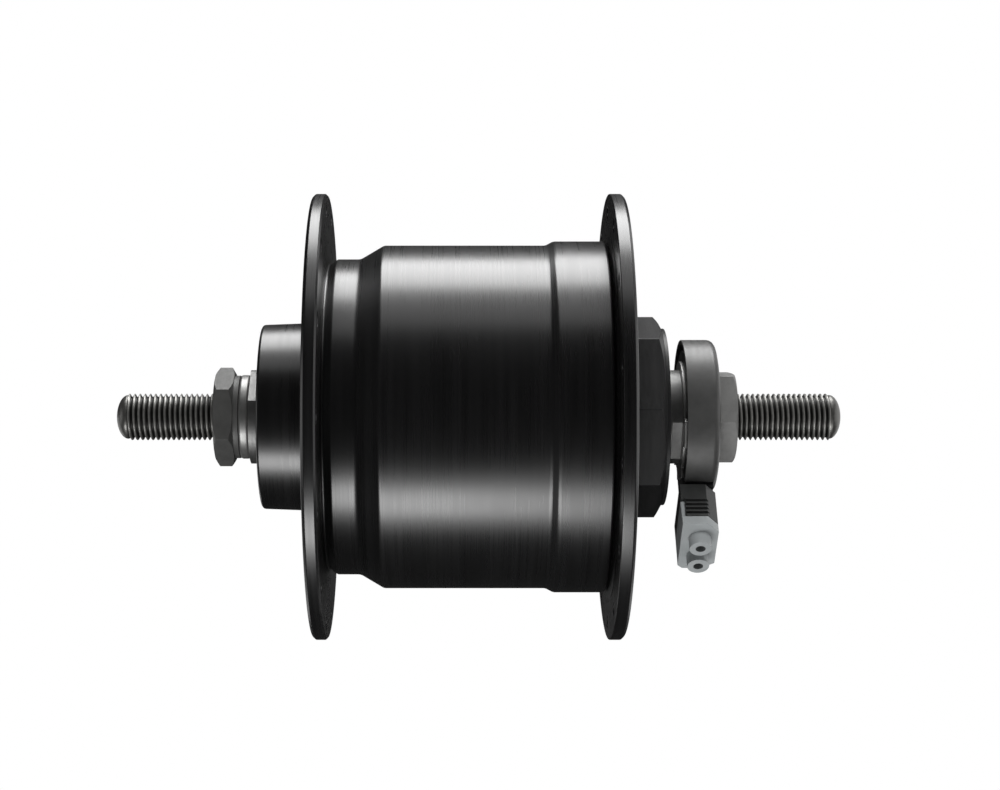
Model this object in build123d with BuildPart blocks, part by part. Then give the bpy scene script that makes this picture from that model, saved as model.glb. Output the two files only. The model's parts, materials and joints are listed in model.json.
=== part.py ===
from build123d import *
from math import cos, radians, sin, sqrt, tan
import os

# A front hub with a dynamo inside it, for a bicycle fork with open ends.
#
# The axle and all that is clamped to it stand still in the fork: two cones, the coil between its two
# claw yokes, and the electrical terminal. The shell turns round them on two rows of balls and carries
# the magnets. A plug for the two lamp wires is pushed on the terminal.
#
# The axle lies along Y, with the terminal at its +Y end, and Z is up. The origin is on the axle,
# half-way between the two faces that the fork grips. Lengths are in millimetres.

# Axle, which stands out beyond both locknuts
over_locknuts = 100.0
fork_face = over_locknuts / 2
axle_end_length = 20.0
axle_length = over_locknuts + 2 * axle_end_length
axle_radius = 4.5
# The axle stands out a little further at the terminal's end
axle_shift = 0.7
axle_tip_chamfer = 1.2
undercut_depth = 0.3
undercut_radius = axle_radius - undercut_depth
undercut_width = 1.0

# Gaps: round what is screwed on the axle, and round what is pressed or screwed into a seat
thread_gap = 0.03
seat_gap = 0.05
axle_bore = axle_radius + thread_gap
overrun = 1.0

# Locknuts, each with a washer face towards the hub or towards the fork
locknut_flats = 16.6
locknut_face_step = 0.1
locknut_face_radius = locknut_flats / 2 + locknut_face_step
locknut_chamfer = 0.7
left_locknut_width = 3.7
left_locknut_collar_step = 0.3
left_locknut_collar_radius = locknut_flats / 2 - left_locknut_collar_step
left_locknut_collar_width = 1.0
left_locknut_angle = 33.0
left_spacer_width = 2.05
right_locknut_width = 3.8
right_locknut_angle = 54.0

# Balls, nine in each row
ball_radius = 2.38
ball_count = 9
ball_flats = 8
pitch_radius = 9.6
race_gap = 0.05
# A race is a straight cone at 45 degrees, and this is its distance from the row, each way
race_reach = (ball_radius + race_gap) / sqrt(2)

# Cones, each with its body from the row of balls to its outer end
cone_step = 0.55
cone_radius = pitch_radius - cone_step
cone_nose_step = 2.7
cone_nose_radius = pitch_radius - cone_nose_step
cone_nose_length = 1.5
left_cone_body = 8.75
right_cone_body = 8.6
cone_flat_depth = 1.05
cone_flats = 2 * (cone_radius - cone_flat_depth)
cone_flat_width = 2.0
left_cone_flat_angle = -42.0
right_cone_flat_angle = 55.0

# Cups, pressed into the shell on the left and into the end cap on the right
cup_ball_gap = 0.32
cup_bore_radius = pitch_radius + ball_radius + cup_ball_gap
cup_wall = 1.65
cup_radius = cup_bore_radius + cup_wall
cup_lip_step = 0.3
cup_lip_radius = pitch_radius + cup_lip_step
cup_outward = 2.5
cup_inward = 4.3

# Retainers that space the balls: a ring outside the row with a finger between each two balls
retainer_step = 0.3
retainer_inner_radius = pitch_radius + retainer_step
retainer_cup_gap = 0.4
retainer_outer_radius = cup_bore_radius - retainer_cup_gap
retainer_thickness = 0.8
retainer_ball_gap = 0.12
finger_step = 0.4
finger_inner_radius = pitch_radius - finger_step
finger_overlap = 1.0
finger_outer_radius = retainer_inner_radius + finger_overlap
finger_width_share = 0.61
finger_width = finger_width_share * 2 * (pitch_radius * sin(radians(180 / ball_count)) - ball_radius)
finger_length = 3.2

# Dust seals, pressed in behind the outer faces of the shell and of the end cap
seal_gap = 0.3
seal_inset = 0.45
seal_width = 1.2

# Shell: flanges, and how far the middle of each one is from its row of balls
flange_radius = 43.0
flange_height = 9.9
flange_thickness = 2.7
flange_edge = 0.6
left_flange_reach = 4.85
right_flange_reach = 3.8
left_spoke_inset = 2.8
right_spoke_inset = 3.6
left_spoke_circle_radius = flange_radius - left_spoke_inset
right_spoke_circle_radius = flange_radius - right_spoke_inset
spokes_per_flange = 14
spoke_hole_radius = 1.3

# Shell: barrel, from left to right, with each step above or below it
barrel_radius = flange_radius - flange_height
root_step = 3.7
root_radius = barrel_radius - root_step
root_width = 1.6
neck_step = 2.65
neck_radius = barrel_radius - neck_step
neck_width = 4.7
barrel_cone_width = 4.5
shoulder_step = 0.8
shoulder_radius = barrel_radius + shoulder_step
shoulder_reach = 13.5
shoulder_bevel_width = 1.5
groove_step = 0.5
groove_radius = barrel_radius - groove_step
shoulder_groove_width = 0.95

# Shell: boss round the left bearing, its face beyond the row of balls
boss_wall = 3.85
boss_face_radius = cup_radius + boss_wall
boss_taper = 0.4
boss_root_radius = boss_face_radius + boss_taper
boss_face_reach = 6.5
web_bore_step = 2.45
web_bore_radius = cup_radius - web_bore_step

# Shell: inside
barrel_wall = 2.1
cavity_radius = barrel_radius - barrel_wall
cavity_inset = 1.0
neck_wall = 2.85
cavity_end_radius = neck_radius - neck_wall
web_thickness = 3.0

# End cap, screwed into the right end of the shell with an octagon for the wrench
cap_nose_wall = 3.15
cap_nose_radius = cup_radius + cap_nose_wall
cap_bevel_step = 0.2
cap_bevel_radius = cap_nose_radius + cap_bevel_step
cap_flat_step = 0.9
cap_flats = 2 * (cap_nose_radius + cap_flat_step)
cap_octagon_angle = 3.9
cap_collar_step = 1.7
cap_collar_radius = cap_flats / 2 + cap_collar_step
cap_collar_width = 1.55
cap_octagon_width = 5.8
cap_bevel_width = 1.3
cap_face_reach = 5.6
cap_web_thickness = 5.1

# Rotor: back iron with a flat seat for each magnet, and one magnet for each pole
pole_count = 28
half_pole = 180 / pole_count
back_iron_thickness = 1.85
back_iron_inradius = cavity_radius - back_iron_thickness
rotor_end_gap = 8.75
magnet_depth = 2.95
magnet_inner = back_iron_inradius - magnet_depth
magnet_gap = 0.3
magnet_width = 2 * magnet_inner * tan(radians(half_pole)) - magnet_gap
magnet_end_inset = 1.0
glue_gap = 0.05

# Stator: core, two claw yokes, coil on its bobbin, and a nut at each end
stator_left_inset = 2.0
stator_right_inset = 1.0
yoke_plate_thickness = 1.6
air_gap = 0.7
claw_thickness = 2.6
claw_inner = magnet_inner - air_gap - claw_thickness
claw_overlap = 0.6
yoke_plate_radius = claw_inner + claw_overlap
claw_pitch = 2 * claw_inner * tan(radians(half_pole))
claw_root_gap = 0.96
claw_root_width = claw_pitch - claw_root_gap
claw_side_gap = 2.16
claw_tip_width = claw_pitch - claw_side_gap
claw_tip_gap = 0.9
core_radius_share = 0.4105
core_radius = core_radius_share * claw_inner
bobbin_wall = 1.2
bobbin_tube_radius = core_radius + bobbin_wall
bobbin_claw_gap = 0.4
bobbin_flange_inradius = claw_inner - bobbin_claw_gap
bobbin_flange_thickness = 1.2
winding_inset = 1.5
winding_radius = bobbin_flange_inradius - winding_inset
core_nut_flats = 15.0
core_nut_width = 3.5

# Lead wire, in a groove along the axle
wire_groove_width = 1.6
wire_groove_depth = 1.5
wire_groove_reach = 7.5
wire_radius = 0.55
wire_floor_gap = 0.1

# Terminal: metal cover, moulded housing with a block and a tongue, earth plate and two contacts
cover_radius = 14.9
cover_depth = 6.5
cover_wall = 0.8
cover_face_thickness = 0.9
cover_edge = 1.7
cover_lip_inset = 0.3
housing_gap = 1.2
housing_radius = cover_radius - cover_wall - housing_gap
plate_inset = 2.2
plate_radius = housing_radius - plate_inset
plate_thickness = 0.6
front_ear_angle = -16.0
front_ear_width = 5.2
front_ear_inset = 0.4
front_ear_reach = housing_radius - front_ear_inset
lower_ear_angle = -85.0
lower_ear_width = 7.6
lower_ear_inset = 0.9
lower_ear_reach = housing_radius - lower_ear_inset
block_width = 11.6
tongue_width = 9.6
tongue_thickness = 1.4
tongue_length = 6.7
contact_width = 3.0
contact_thickness = 0.5
contact_spacing = 5.5
contact_root_length = 7.3
contact_tip_inset = 0.8
window_margin = 0.6

# Plug. It points this many degrees below the horizontal, and beside the axle, not at it.
plug_angle = 50.0
plug_inset = 4.8
plug_offset = plug_inset - housing_radius
plug_cover_gap = 0.8
plug_start = cover_radius + plug_cover_gap
plug_block_gap = 0.4
plug_height = 14.0
plug_width = 7.0
plug_overhang = 1.3
plug_cap_length = 7.6
plug_top_bevel_width = 2.1
plug_top_bevel_height = 2.6
plug_bottom_bevel_width = 2.4
plug_bottom_bevel_height = 1.6
plug_corner = 0.9
plug_tongue_gap = 0.4
plug_contact_gap = 0.3
plug_floor_gap = 0.6
cheek_thickness = 0.8
cheek_length = 4.2
plug_cover_thickness = 1.9
wire_boss_radius = 2.1
wire_boss_length = 2.7
wire_hole_radius = 0.9
grip_groove_count = 4
grip_groove_width = 0.5
grip_groove_depth = 0.4
grip_groove_pitch = 0.95
grip_end_inset = 0.6

# Places along the axle, from the face that the fork grips on the left
left_locknut_inner = left_locknut_width - fork_face
left_locknut_face = left_locknut_inner + left_locknut_collar_width
left_cone_end = left_locknut_face + left_spacer_width
left_ball_place = left_cone_end + left_cone_body
boss_face_place = left_ball_place - boss_face_reach
left_flange_place = left_ball_place + left_flange_reach
left_flange_outer = left_flange_place - flange_thickness / 2
left_flange_inner = left_flange_place + flange_thickness / 2
root_end = left_flange_inner + root_width
neck_end = root_end + neck_width
barrel_start = neck_end + barrel_cone_width
cavity_shoulder_place = barrel_start + cavity_inset

# Places along the axle, from the face that the fork grips on the right
right_locknut_inner = fork_face - right_locknut_width
housing_right = right_locknut_inner - cover_face_thickness
cover_left = right_locknut_inner - cover_depth
housing_left = cover_left + cover_lip_inset
plug_left = housing_left - plug_overhang
plate_left = housing_left - plate_thickness
right_ball_place = plate_left - right_cone_body
cap_face_place = right_ball_place + cap_face_reach
right_flange_place = right_ball_place - right_flange_reach
right_flange_inner = right_flange_place - flange_thickness / 2
right_flange_outer = right_flange_place + flange_thickness / 2
shoulder_place = right_flange_place - shoulder_reach
shoulder_start = shoulder_place + shoulder_bevel_width
shoulder_end = right_flange_inner - shoulder_groove_width

# Places of the generator, between the shoulder of the cavity and the end cap
cap_web_inner = right_flange_outer - cap_web_thickness
back_iron_right = cap_web_inner - rotor_end_gap
back_iron_length = back_iron_right - cavity_shoulder_place
magnet_length = back_iron_length - 2 * magnet_end_inset
stator_left = cavity_shoulder_place + stator_left_inset
stator_right = back_iron_right - stator_right_inset
stator_middle = (stator_left + stator_right) / 2
stator_length = stator_right - stator_left
wire_groove_start = stator_right - wire_groove_reach


def across(place, turn=0):
    """The plane square to the axle at this place, facing -Y, its X turned up from +X by turn."""
    right = (cos(radians(turn)), 0, sin(radians(turn)))
    return Plane(origin=(0, place, 0), x_dir=right, z_dir=(0, -1, 0))


def toward_plug(place):
    """The same plane, turned so that its X is the way that the plug points."""
    return across(place, -plug_angle)


def along_plug(reach):
    """The plane square to the plug at this reach from the axle: its X along the axle."""
    way = (cos(radians(plug_angle)), 0, -sin(radians(plug_angle)))
    return Plane(origin=(reach * way[0], 0, reach * way[2]), x_dir=(0, 1, 0), z_dir=way)


def ring(left, right, inner, outer):
    """A plain ring round the axle."""
    with BuildPart() as made:
        with BuildSketch(across(right)):
            Circle(outer)
            Circle(inner, mode=Mode.SUBTRACT)
        extrude(amount=right - left)
    return made


os.makedirs("parts", exist_ok=True)

# The axle, with its ends bevelled and a groove for the lead wire
wire_groove_end = (housing_left + housing_right) / 2
with BuildPart() as axle:
    with BuildSketch(across(axle_shift + axle_length / 2)):
        Circle(axle_radius)
    extrude(amount=axle_length)
    chamfer(axle.edges().filter_by(GeomType.CIRCLE), axle_tip_chamfer)
    # An undercut just inside each locknut's outer face ends the thread that the fork grips
    with BuildSketch(across(fork_face), across(undercut_width - fork_face)):
        Circle(axle_radius)
        Circle(undercut_radius, mode=Mode.SUBTRACT)
    extrude(amount=undercut_width, mode=Mode.SUBTRACT)
    with BuildSketch(toward_plug(wire_groove_end)):
        with Locations((axle_radius, 0)):
            Rectangle(2 * wire_groove_depth, wire_groove_width)
    extrude(amount=wire_groove_end - wire_groove_start, mode=Mode.SUBTRACT)
axle.part.label = "axle"
export_step(axle.part, "parts/axle.step")


def locknut(left, right, angle, left_corner):
    """A hexagon nut, bevelled on its right side. On its left side it goes out to left_corner."""
    corner = locknut_flats / sqrt(3)
    with BuildPart() as made:
        with BuildSketch(across(right)):
            RegularPolygon(locknut_flats / 2, 6, major_radius=False, rotation=angle)
        extrude(amount=right - left)
        with BuildSketch(Plane.XY):
            with BuildLine():
                Polyline(
                    (axle_bore, left),
                    (left_corner, left),
                    (corner, left + locknut_chamfer),
                    (corner, right - locknut_chamfer),
                    (locknut_face_radius, right),
                    (axle_bore, right),
                    close=True,
                )
            make_face()
        revolve(axis=Axis.Y, mode=Mode.INTERSECT)
    return made


left_nut = locknut(-fork_face, left_locknut_inner, left_locknut_angle, locknut_face_radius)
with BuildPart() as left_locknut:
    add(left_nut.part)
    with BuildSketch(across(left_locknut_face)):
        Circle(left_locknut_collar_radius)
        Circle(axle_bore, mode=Mode.SUBTRACT)
    extrude(amount=left_locknut_collar_width)
left_locknut.part.label = "left_locknut"
export_step(left_locknut.part, "parts/left_locknut.step")

full_corner = locknut_flats / sqrt(3)
right_locknut = locknut(right_locknut_inner, fork_face, right_locknut_angle, full_corner)
right_locknut.part.label = "right_locknut"
export_step(right_locknut.part, "parts/right_locknut.step")

# The spacer ring stands between the left locknut and the left cone
left_spacer_radius = left_locknut_collar_radius + seat_gap * 2
left_spacer = ring(left_locknut_face, left_cone_end, axle_bore, left_spacer_radius)
left_spacer.part.label = "left_spacer"
export_step(left_spacer.part, "parts/left_spacer.step")


def cone(side, ball_place, outer_end, flat_angle):
    """A cone for one row of balls: its race, its nose inwards and two flats at its outer end."""
    nose_end = ball_place - side * cone_nose_length
    race_foot = ball_place + side * (2 * race_reach + cone_nose_radius - pitch_radius)
    race_top = ball_place + side * (2 * race_reach + cone_radius - pitch_radius)
    flats_right = max(outer_end, outer_end - side * cone_flat_width)
    with BuildPart() as made:
        with BuildSketch(Plane.XY):
            with BuildLine():
                Polyline(
                    (axle_bore, nose_end),
                    (cone_nose_radius, nose_end),
                    (cone_nose_radius, race_foot),
                    (cone_radius, race_top),
                    (cone_radius, outer_end),
                    (axle_bore, outer_end),
                    close=True,
                )
            make_face()
        revolve(axis=Axis.Y)
        with BuildSketch(across(flats_right, flat_angle)):
            Circle(cone_radius + overrun)
            Rectangle(2 * cone_radius + 2 * overrun, cone_flats, mode=Mode.SUBTRACT)
        extrude(amount=cone_flat_width, mode=Mode.SUBTRACT)
    return made


left_cone = cone(-1, left_ball_place, left_cone_end, left_cone_flat_angle)
left_cone.part.label = "left_cone"
export_step(left_cone.part, "parts/left_cone.step")

right_cone = cone(1, right_ball_place, plate_left, right_cone_flat_angle)
right_cone.part.label = "right_cone"
export_step(right_cone.part, "parts/right_cone.step")


def cup(side, ball_place):
    """The outer race of one row, open outwards, with a lip inwards."""
    outer_end = ball_place + side * cup_outward
    inner_end = ball_place - side * cup_inward
    race_top = ball_place + side * (cup_bore_radius - pitch_radius - 2 * race_reach)
    race_foot = ball_place + side * (cup_lip_radius - pitch_radius - 2 * race_reach)
    with BuildPart() as made:
        with BuildSketch(Plane.XY):
            with BuildLine():
                Polyline(
                    (cup_bore_radius, outer_end),
                    (cup_radius, outer_end),
                    (cup_radius, inner_end),
                    (cup_lip_radius, inner_end),
                    (cup_lip_radius, race_foot),
                    (cup_bore_radius, race_top),
                    close=True,
                )
            make_face()
        revolve(axis=Axis.Y)
    return made


left_bearing_cup = cup(-1, left_ball_place)
left_bearing_cup.part.label = "left_bearing_cup"
export_step(left_bearing_cup.part, "parts/left_bearing_cup.step")

right_bearing_cup = cup(1, right_ball_place)
right_bearing_cup.part.label = "right_bearing_cup"
export_step(right_bearing_cup.part, "parts/right_bearing_cup.step")


def balls(place):
    """One row of balls. Each ball has 26 small flats, with its corners on the true ball."""
    step = 360 / ball_flats
    low = ball_radius * sin(radians(step / 2))
    high = ball_radius * cos(radians(step / 2))
    wide = high * cos(radians(step / 2))
    narrow = low * cos(radians(step / 2))
    with BuildPart() as one_ball:
        for number in range(ball_flats // 2):
            turn = radians(number * step)
            side = Plane(
                origin=(pitch_radius, place, 0),
                x_dir=(cos(turn), 0, sin(turn)),
                z_dir=(-sin(turn), 0, cos(turn)),
            )
            with BuildSketch(side):
                with BuildLine():
                    Polyline(
                        (-wide, -low),
                        (-narrow, -high),
                        (narrow, -high),
                        (wide, -low),
                        (wide, low),
                        (narrow, high),
                        (-narrow, high),
                        (-wide, low),
                        close=True,
                    )
                make_face()
            cut = Mode.INTERSECT if number else Mode.ADD
            extrude(amount=ball_radius, both=True, mode=cut)
    with BuildPart() as made:
        for number in range(ball_count):
            add(one_ball.part, rotation=(0, number * 360 / ball_count, 0))
    return made


left_balls = balls(left_ball_place)
left_balls.part.label = "left_balls"
export_step(left_balls.part, "parts/left_balls.step")

right_balls = balls(right_ball_place)
right_balls.part.label = "right_balls"
export_step(right_balls.part, "parts/right_balls.step")


def retainer(side, ball_place):
    """The pressed ring that keeps one row of balls apart, flat over each ball and finger."""
    near = ball_place + side * (ball_radius + retainer_ball_gap)
    far = near + side * retainer_thickness
    finger_end = far - side * finger_length
    finger_middle = (finger_inner_radius + finger_outer_radius) / 2
    finger_height = finger_outer_radius - finger_inner_radius
    half_step = 180 / ball_count
    with BuildPart() as made:
        with BuildSketch(across(max(near, far))):
            RegularPolygon(retainer_outer_radius, 2 * ball_count)
            RegularPolygon(
                retainer_inner_radius, 2 * ball_count, major_radius=False, mode=Mode.SUBTRACT
            )
        extrude(amount=retainer_thickness)
        with BuildSketch(across(max(far, finger_end))):
            with PolarLocations(finger_middle, ball_count, start_angle=half_step):
                Rectangle(finger_height, finger_width)
        extrude(amount=finger_length)
    return made


left_ball_retainer = retainer(-1, left_ball_place)
left_ball_retainer.part.label = "left_ball_retainer"
export_step(left_ball_retainer.part, "parts/left_ball_retainer.step")

right_ball_retainer = retainer(1, right_ball_place)
right_ball_retainer.part.label = "right_ball_retainer"
export_step(right_ball_retainer.part, "parts/right_ball_retainer.step")

# Dust seals stand in the same bores as the cups and clear the cones
seal_bore = cone_radius + seal_gap
left_seal_place = boss_face_place + seal_inset
left_dust_seal = ring(left_seal_place, left_seal_place + seal_width, seal_bore, cup_radius)
left_dust_seal.part.label = "left_dust_seal"
export_step(left_dust_seal.part, "parts/left_dust_seal.step")

right_seal_place = cap_face_place - seal_inset
right_dust_seal = ring(right_seal_place - seal_width, right_seal_place, seal_bore, cup_radius)
right_dust_seal.part.label = "right_dust_seal"
export_step(right_dust_seal.part, "parts/right_dust_seal.step")

# The shell: boss, left flange, neck, barrel, shoulder and right flange, hollow and open at its right
rim = flange_radius - flange_edge
web_inner = left_flange_outer + web_thickness
left_seat_radius = cup_radius + seat_gap
left_seat_end = left_ball_place + cup_inward
with BuildPart() as hub_shell:
    with BuildSketch(Plane.XY):
        with BuildLine():
            Polyline(
                (left_seat_radius, boss_face_place),
                (boss_face_radius, boss_face_place),
                (boss_root_radius, left_flange_outer),
                (rim, left_flange_outer),
                (flange_radius, left_flange_outer + flange_edge),
                (flange_radius, left_flange_inner),
                (root_radius, left_flange_inner),
                (root_radius, root_end),
                (neck_radius, root_end),
                (neck_radius, neck_end),
                (barrel_radius, barrel_start),
                (barrel_radius, shoulder_place),
                (shoulder_radius, shoulder_start),
                (shoulder_radius, shoulder_end),
                (groove_radius, shoulder_end),
                (groove_radius, right_flange_inner),
                (flange_radius, right_flange_inner),
                (flange_radius, right_flange_outer - flange_edge),
                (rim, right_flange_outer),
                (cavity_radius, right_flange_outer),
                (cavity_radius, cavity_shoulder_place),
                (cavity_end_radius, cavity_shoulder_place),
                (cavity_end_radius, web_inner),
                (web_bore_radius, web_inner),
                (web_bore_radius, left_seat_end),
                (left_seat_radius, left_seat_end),
                close=True,
            )
        make_face()
    revolve(axis=Axis.Y)
    with BuildSketch(across(left_flange_inner)):
        with PolarLocations(left_spoke_circle_radius, spokes_per_flange):
            Circle(spoke_hole_radius)
    extrude(amount=flange_thickness, mode=Mode.SUBTRACT)
    # The holes of the right flange stand half a step from those of the left one
    with BuildSketch(across(right_flange_outer)):
        half_step = 180 / spokes_per_flange
        with PolarLocations(right_spoke_circle_radius, spokes_per_flange, start_angle=half_step):
            Circle(spoke_hole_radius)
    extrude(amount=flange_thickness, mode=Mode.SUBTRACT)
hub_shell.part.label = "hub_shell"
export_step(hub_shell.part, "parts/hub_shell.step")

# The end cap: a lid, a collar, the octagon with a turned bevel, and a round nose
cap_radius = cavity_radius - seat_gap
cap_collar_end = right_flange_outer + cap_collar_width
cap_octagon_end = cap_collar_end + cap_octagon_width
right_seat_end = right_ball_place - cup_inward
with BuildPart() as right_end_cap:
    with BuildSketch(across(cap_octagon_end)):
        RegularPolygon(cap_flats / 2, 8, major_radius=False, rotation=cap_octagon_angle)
    extrude(amount=cap_octagon_width)
    with BuildSketch(Plane.XY):
        with BuildLine():
            Polyline(
                (0, cap_collar_end),
                (cap_collar_radius, cap_collar_end),
                (cap_collar_radius, cap_octagon_end - cap_bevel_width),
                (cap_bevel_radius, cap_octagon_end),
                (0, cap_octagon_end),
                close=True,
            )
        make_face()
    revolve(axis=Axis.Y, mode=Mode.INTERSECT)
    with BuildSketch(Plane.XY):
        with BuildLine():
            Polyline(
                (0, cap_web_inner),
                (cap_radius, cap_web_inner),
                (cap_radius, right_flange_outer),
                (cap_collar_radius, right_flange_outer),
                (cap_collar_radius, cap_collar_end),
                (cap_nose_radius, cap_collar_end),
                (cap_nose_radius, cap_face_place),
                (0, cap_face_place),
                close=True,
            )
        make_face()
    revolve(axis=Axis.Y)
    with BuildSketch(across(cap_face_place)):
        Circle(cup_radius + seat_gap)
    extrude(amount=cap_face_place - right_seat_end, mode=Mode.SUBTRACT)
    with BuildSketch(across(right_seat_end)):
        Circle(web_bore_radius)
    extrude(amount=right_seat_end - cap_web_inner, mode=Mode.SUBTRACT)
right_end_cap.part.label = "right_end_cap"
export_step(right_end_cap.part, "parts/right_end_cap.step")

# The rotor: back iron against the shoulder of the cavity, and the magnets on its flats
with BuildPart() as back_iron_ring:
    with BuildSketch(across(back_iron_right)):
        Circle(cavity_radius - seat_gap)
        RegularPolygon(
            back_iron_inradius,
            pole_count,
            major_radius=False,
            rotation=half_pole,
            mode=Mode.SUBTRACT,
        )
    extrude(amount=back_iron_length)
back_iron_ring.part.label = "back_iron_ring"
export_step(back_iron_ring.part, "parts/back_iron_ring.step")

magnet_outer = back_iron_inradius - glue_gap
magnet_right = back_iron_right - (back_iron_length - magnet_length) / 2
with BuildPart() as rotor_magnets:
    with BuildSketch(across(magnet_right)):
        with PolarLocations((magnet_inner + magnet_outer) / 2, pole_count):
            Rectangle(magnet_outer - magnet_inner, magnet_width)
    extrude(amount=magnet_length)
rotor_magnets.part.label = "rotor_magnets"
export_step(rotor_magnets.part, "parts/rotor_magnets.step")

# The stator, clamped on the axle between its two nuts
bobbin_left = stator_left + yoke_plate_thickness
bobbin_right = stator_right - yoke_plate_thickness


def claw_yoke(side, turn):
    """A pressed plate with a claw for every second pole, bent over the coil towards the other yoke."""
    plate_outer = stator_middle + side * stator_length / 2
    plate_right = max(plate_outer, plate_outer - side * yoke_plate_thickness)
    claw_tip = stator_middle - side * (stator_length / 2 - yoke_plate_thickness - claw_tip_gap)
    with BuildPart() as one_claw:
        with BuildSketch(Plane.YZ.offset(claw_inner)):
            with BuildLine():
                Polyline(
                    (plate_outer, -claw_root_width / 2),
                    (plate_outer, claw_root_width / 2),
                    (claw_tip, claw_tip_width / 2),
                    (claw_tip, -claw_tip_width / 2),
                    close=True,
                )
            make_face()
        extrude(amount=claw_thickness)
    with BuildPart() as made:
        with BuildSketch(across(plate_right)):
            Circle(yoke_plate_radius)
            Circle(axle_bore, mode=Mode.SUBTRACT)
        extrude(amount=yoke_plate_thickness)
        for number in range(pole_count // 2):
            add(one_claw.part, rotation=(0, turn + number * 720 / pole_count, 0))
    return made


left_claw_yoke = claw_yoke(-1, 0)
left_claw_yoke.part.label = "left_claw_yoke"
export_step(left_claw_yoke.part, "parts/left_claw_yoke.step")

right_claw_yoke = claw_yoke(1, 360 / pole_count)
right_claw_yoke.part.label = "right_claw_yoke"
export_step(right_claw_yoke.part, "parts/right_claw_yoke.step")

core_sleeve = ring(bobbin_left, bobbin_right, axle_bore, core_radius)
core_sleeve.part.label = "core_sleeve"
export_step(core_sleeve.part, "parts/core_sleeve.step")

# The bobbin has a flat for each claw, round its tube and round both of its flanges
with BuildPart() as coil_bobbin:
    with BuildSketch(across(bobbin_right)):
        RegularPolygon(bobbin_tube_radius, pole_count)
    extrude(amount=bobbin_right - bobbin_left)
    with BuildSketch(
        across(bobbin_left + bobbin_flange_thickness), across(bobbin_right)
    ):
        RegularPolygon(
            bobbin_flange_inradius, pole_count, major_radius=False, rotation=half_pole
        )
    extrude(amount=bobbin_flange_thickness)
    with BuildSketch(across(bobbin_right)):
        Circle(core_radius + seat_gap)
    extrude(amount=bobbin_right - bobbin_left, mode=Mode.SUBTRACT)
coil_bobbin.part.label = "coil_bobbin"
export_step(coil_bobbin.part, "parts/coil_bobbin.step")

winding_left = bobbin_left + bobbin_flange_thickness
winding_right = bobbin_right - bobbin_flange_thickness
with BuildPart() as coil_winding:
    with BuildSketch(across(winding_right)):
        RegularPolygon(winding_radius, pole_count)
        RegularPolygon(bobbin_tube_radius + seat_gap, pole_count, mode=Mode.SUBTRACT)
    extrude(amount=winding_right - winding_left)
coil_winding.part.label = "coil_winding"
export_step(coil_winding.part, "parts/coil_winding.step")


def core_nut(left, right):
    """A thin hexagon nut that clamps one end of the stator."""
    with BuildPart() as made:
        with BuildSketch(across(right)):
            RegularPolygon(core_nut_flats / 2, 6, major_radius=False)
            Circle(axle_bore, mode=Mode.SUBTRACT)
        extrude(amount=right - left)
    return made


left_core_nut = core_nut(stator_left - core_nut_width, stator_left)
left_core_nut.part.label = "left_core_nut"
export_step(left_core_nut.part, "parts/left_core_nut.step")

right_core_nut = core_nut(stator_right, stator_right + core_nut_width)
right_core_nut.part.label = "right_core_nut"
export_step(right_core_nut.part, "parts/right_core_nut.step")

# The lead wire lies in the groove of the axle, under the yoke, the nut and the cone
wire_left = wire_groove_start + wire_radius
wire_right = wire_groove_end - wire_radius
with BuildPart() as lead_wire:
    with BuildSketch(toward_plug(wire_right)):
        with Locations((axle_radius - wire_groove_depth + wire_floor_gap + wire_radius, 0)):
            Circle(wire_radius)
    extrude(amount=wire_right - wire_left)
lead_wire.part.label = "lead_wire"
export_step(lead_wire.part, "parts/lead_wire.step")

# The earth plate: a washer with one ear to the front and one below
with BuildPart() as earth_plate:
    with BuildSketch(across(housing_left)):
        Circle(plate_radius)
    with BuildSketch(across(housing_left, front_ear_angle)):
        with Locations((front_ear_reach / 2, 0)):
            Rectangle(front_ear_reach, front_ear_width)
    with BuildSketch(across(housing_left, lower_ear_angle)):
        with Locations((lower_ear_reach / 2, 0)):
            Rectangle(lower_ear_reach, lower_ear_width)
    extrude(amount=plate_thickness)
    with BuildSketch(across(housing_left)):
        Circle(axle_bore)
    extrude(amount=plate_thickness, mode=Mode.SUBTRACT)
earth_plate.part.label = "earth_plate"
export_step(earth_plate.part, "parts/earth_plate.step")

# The housing: a disc in the cover, a block out of its side, and a tongue that carries the contacts
block_end = plug_start - plug_block_gap
tongue_right = (housing_left + housing_right + tongue_thickness) / 2
tongue_left = tongue_right - tongue_thickness
tongue_end = block_end + tongue_length
contact_start = block_end - contact_root_length
contact_end = tongue_end - contact_tip_inset
contact_places = [(plug_offset - contact_spacing / 2), (plug_offset + contact_spacing / 2)]
with BuildPart() as terminal_housing:
    with BuildSketch(toward_plug(housing_right)):
        Circle(housing_radius)
        with Locations((block_end / 2, plug_offset)):
            Rectangle(block_end, block_width)
    extrude(amount=housing_right - housing_left)
    with BuildSketch(toward_plug(tongue_right)):
        with Locations((tongue_end / 2, plug_offset)):
            Rectangle(tongue_end, tongue_width)
    extrude(amount=tongue_thickness)
    with BuildSketch(across(housing_right)):
        Circle(axle_bore)
    extrude(amount=housing_right - housing_left, mode=Mode.SUBTRACT)
    with BuildSketch(toward_plug(tongue_left)):
        for contact_place in contact_places:
            with Locations(((contact_start + block_end) / 2, contact_place)):
                Rectangle(block_end - contact_start, contact_width)
    extrude(amount=contact_thickness, mode=Mode.SUBTRACT)
terminal_housing.part.label = "terminal_housing"
export_step(terminal_housing.part, "parts/terminal_housing.step")


def contact(contact_place):
    """A flat contact that lies on the tongue, with its inner end in the block."""
    with BuildPart() as made:
        with BuildSketch(toward_plug(tongue_left)):
            with Locations(((contact_start + contact_end) / 2, contact_place)):
                Rectangle(contact_end - contact_start, contact_width)
        extrude(amount=contact_thickness)
    return made


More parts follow.
